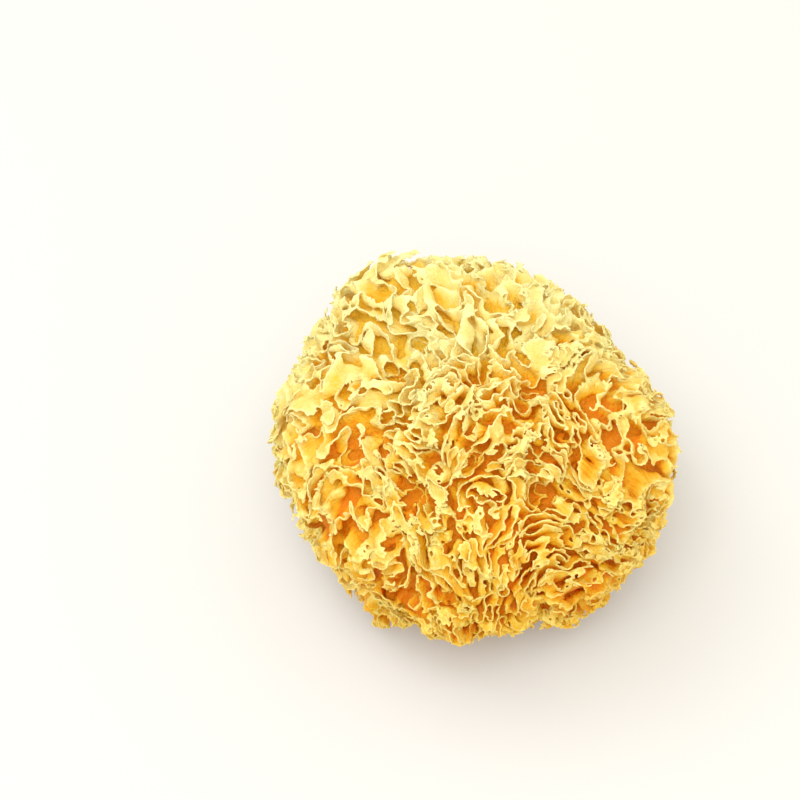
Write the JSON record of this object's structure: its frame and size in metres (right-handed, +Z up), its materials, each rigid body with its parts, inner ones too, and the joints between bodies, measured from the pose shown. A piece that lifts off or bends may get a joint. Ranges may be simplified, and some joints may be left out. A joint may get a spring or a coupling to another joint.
{
  "type": "dried snow fungus",
  "caption": "Whole dried snow fungus head: a lobed dome of thin ruffled fronds grown as one piece, cut off flat at its heel so that it rests with the crown up.",
  "frame": {"origin": "centre of the flat cut at the heel, on the surface that the head rests on", "axes": "+Z up through the crown; -Y is the front, the side that faces the camera; +X is to the right seen from the front"},
  "size_m": [0.1231, 0.1247, 0.0843],
  "materials": {
    "dried_fungus": "matte"
  },
  "bodies": {
    "root": {"snow_fungus_head": "dried_fungus"}
  },
  "joints": []
}
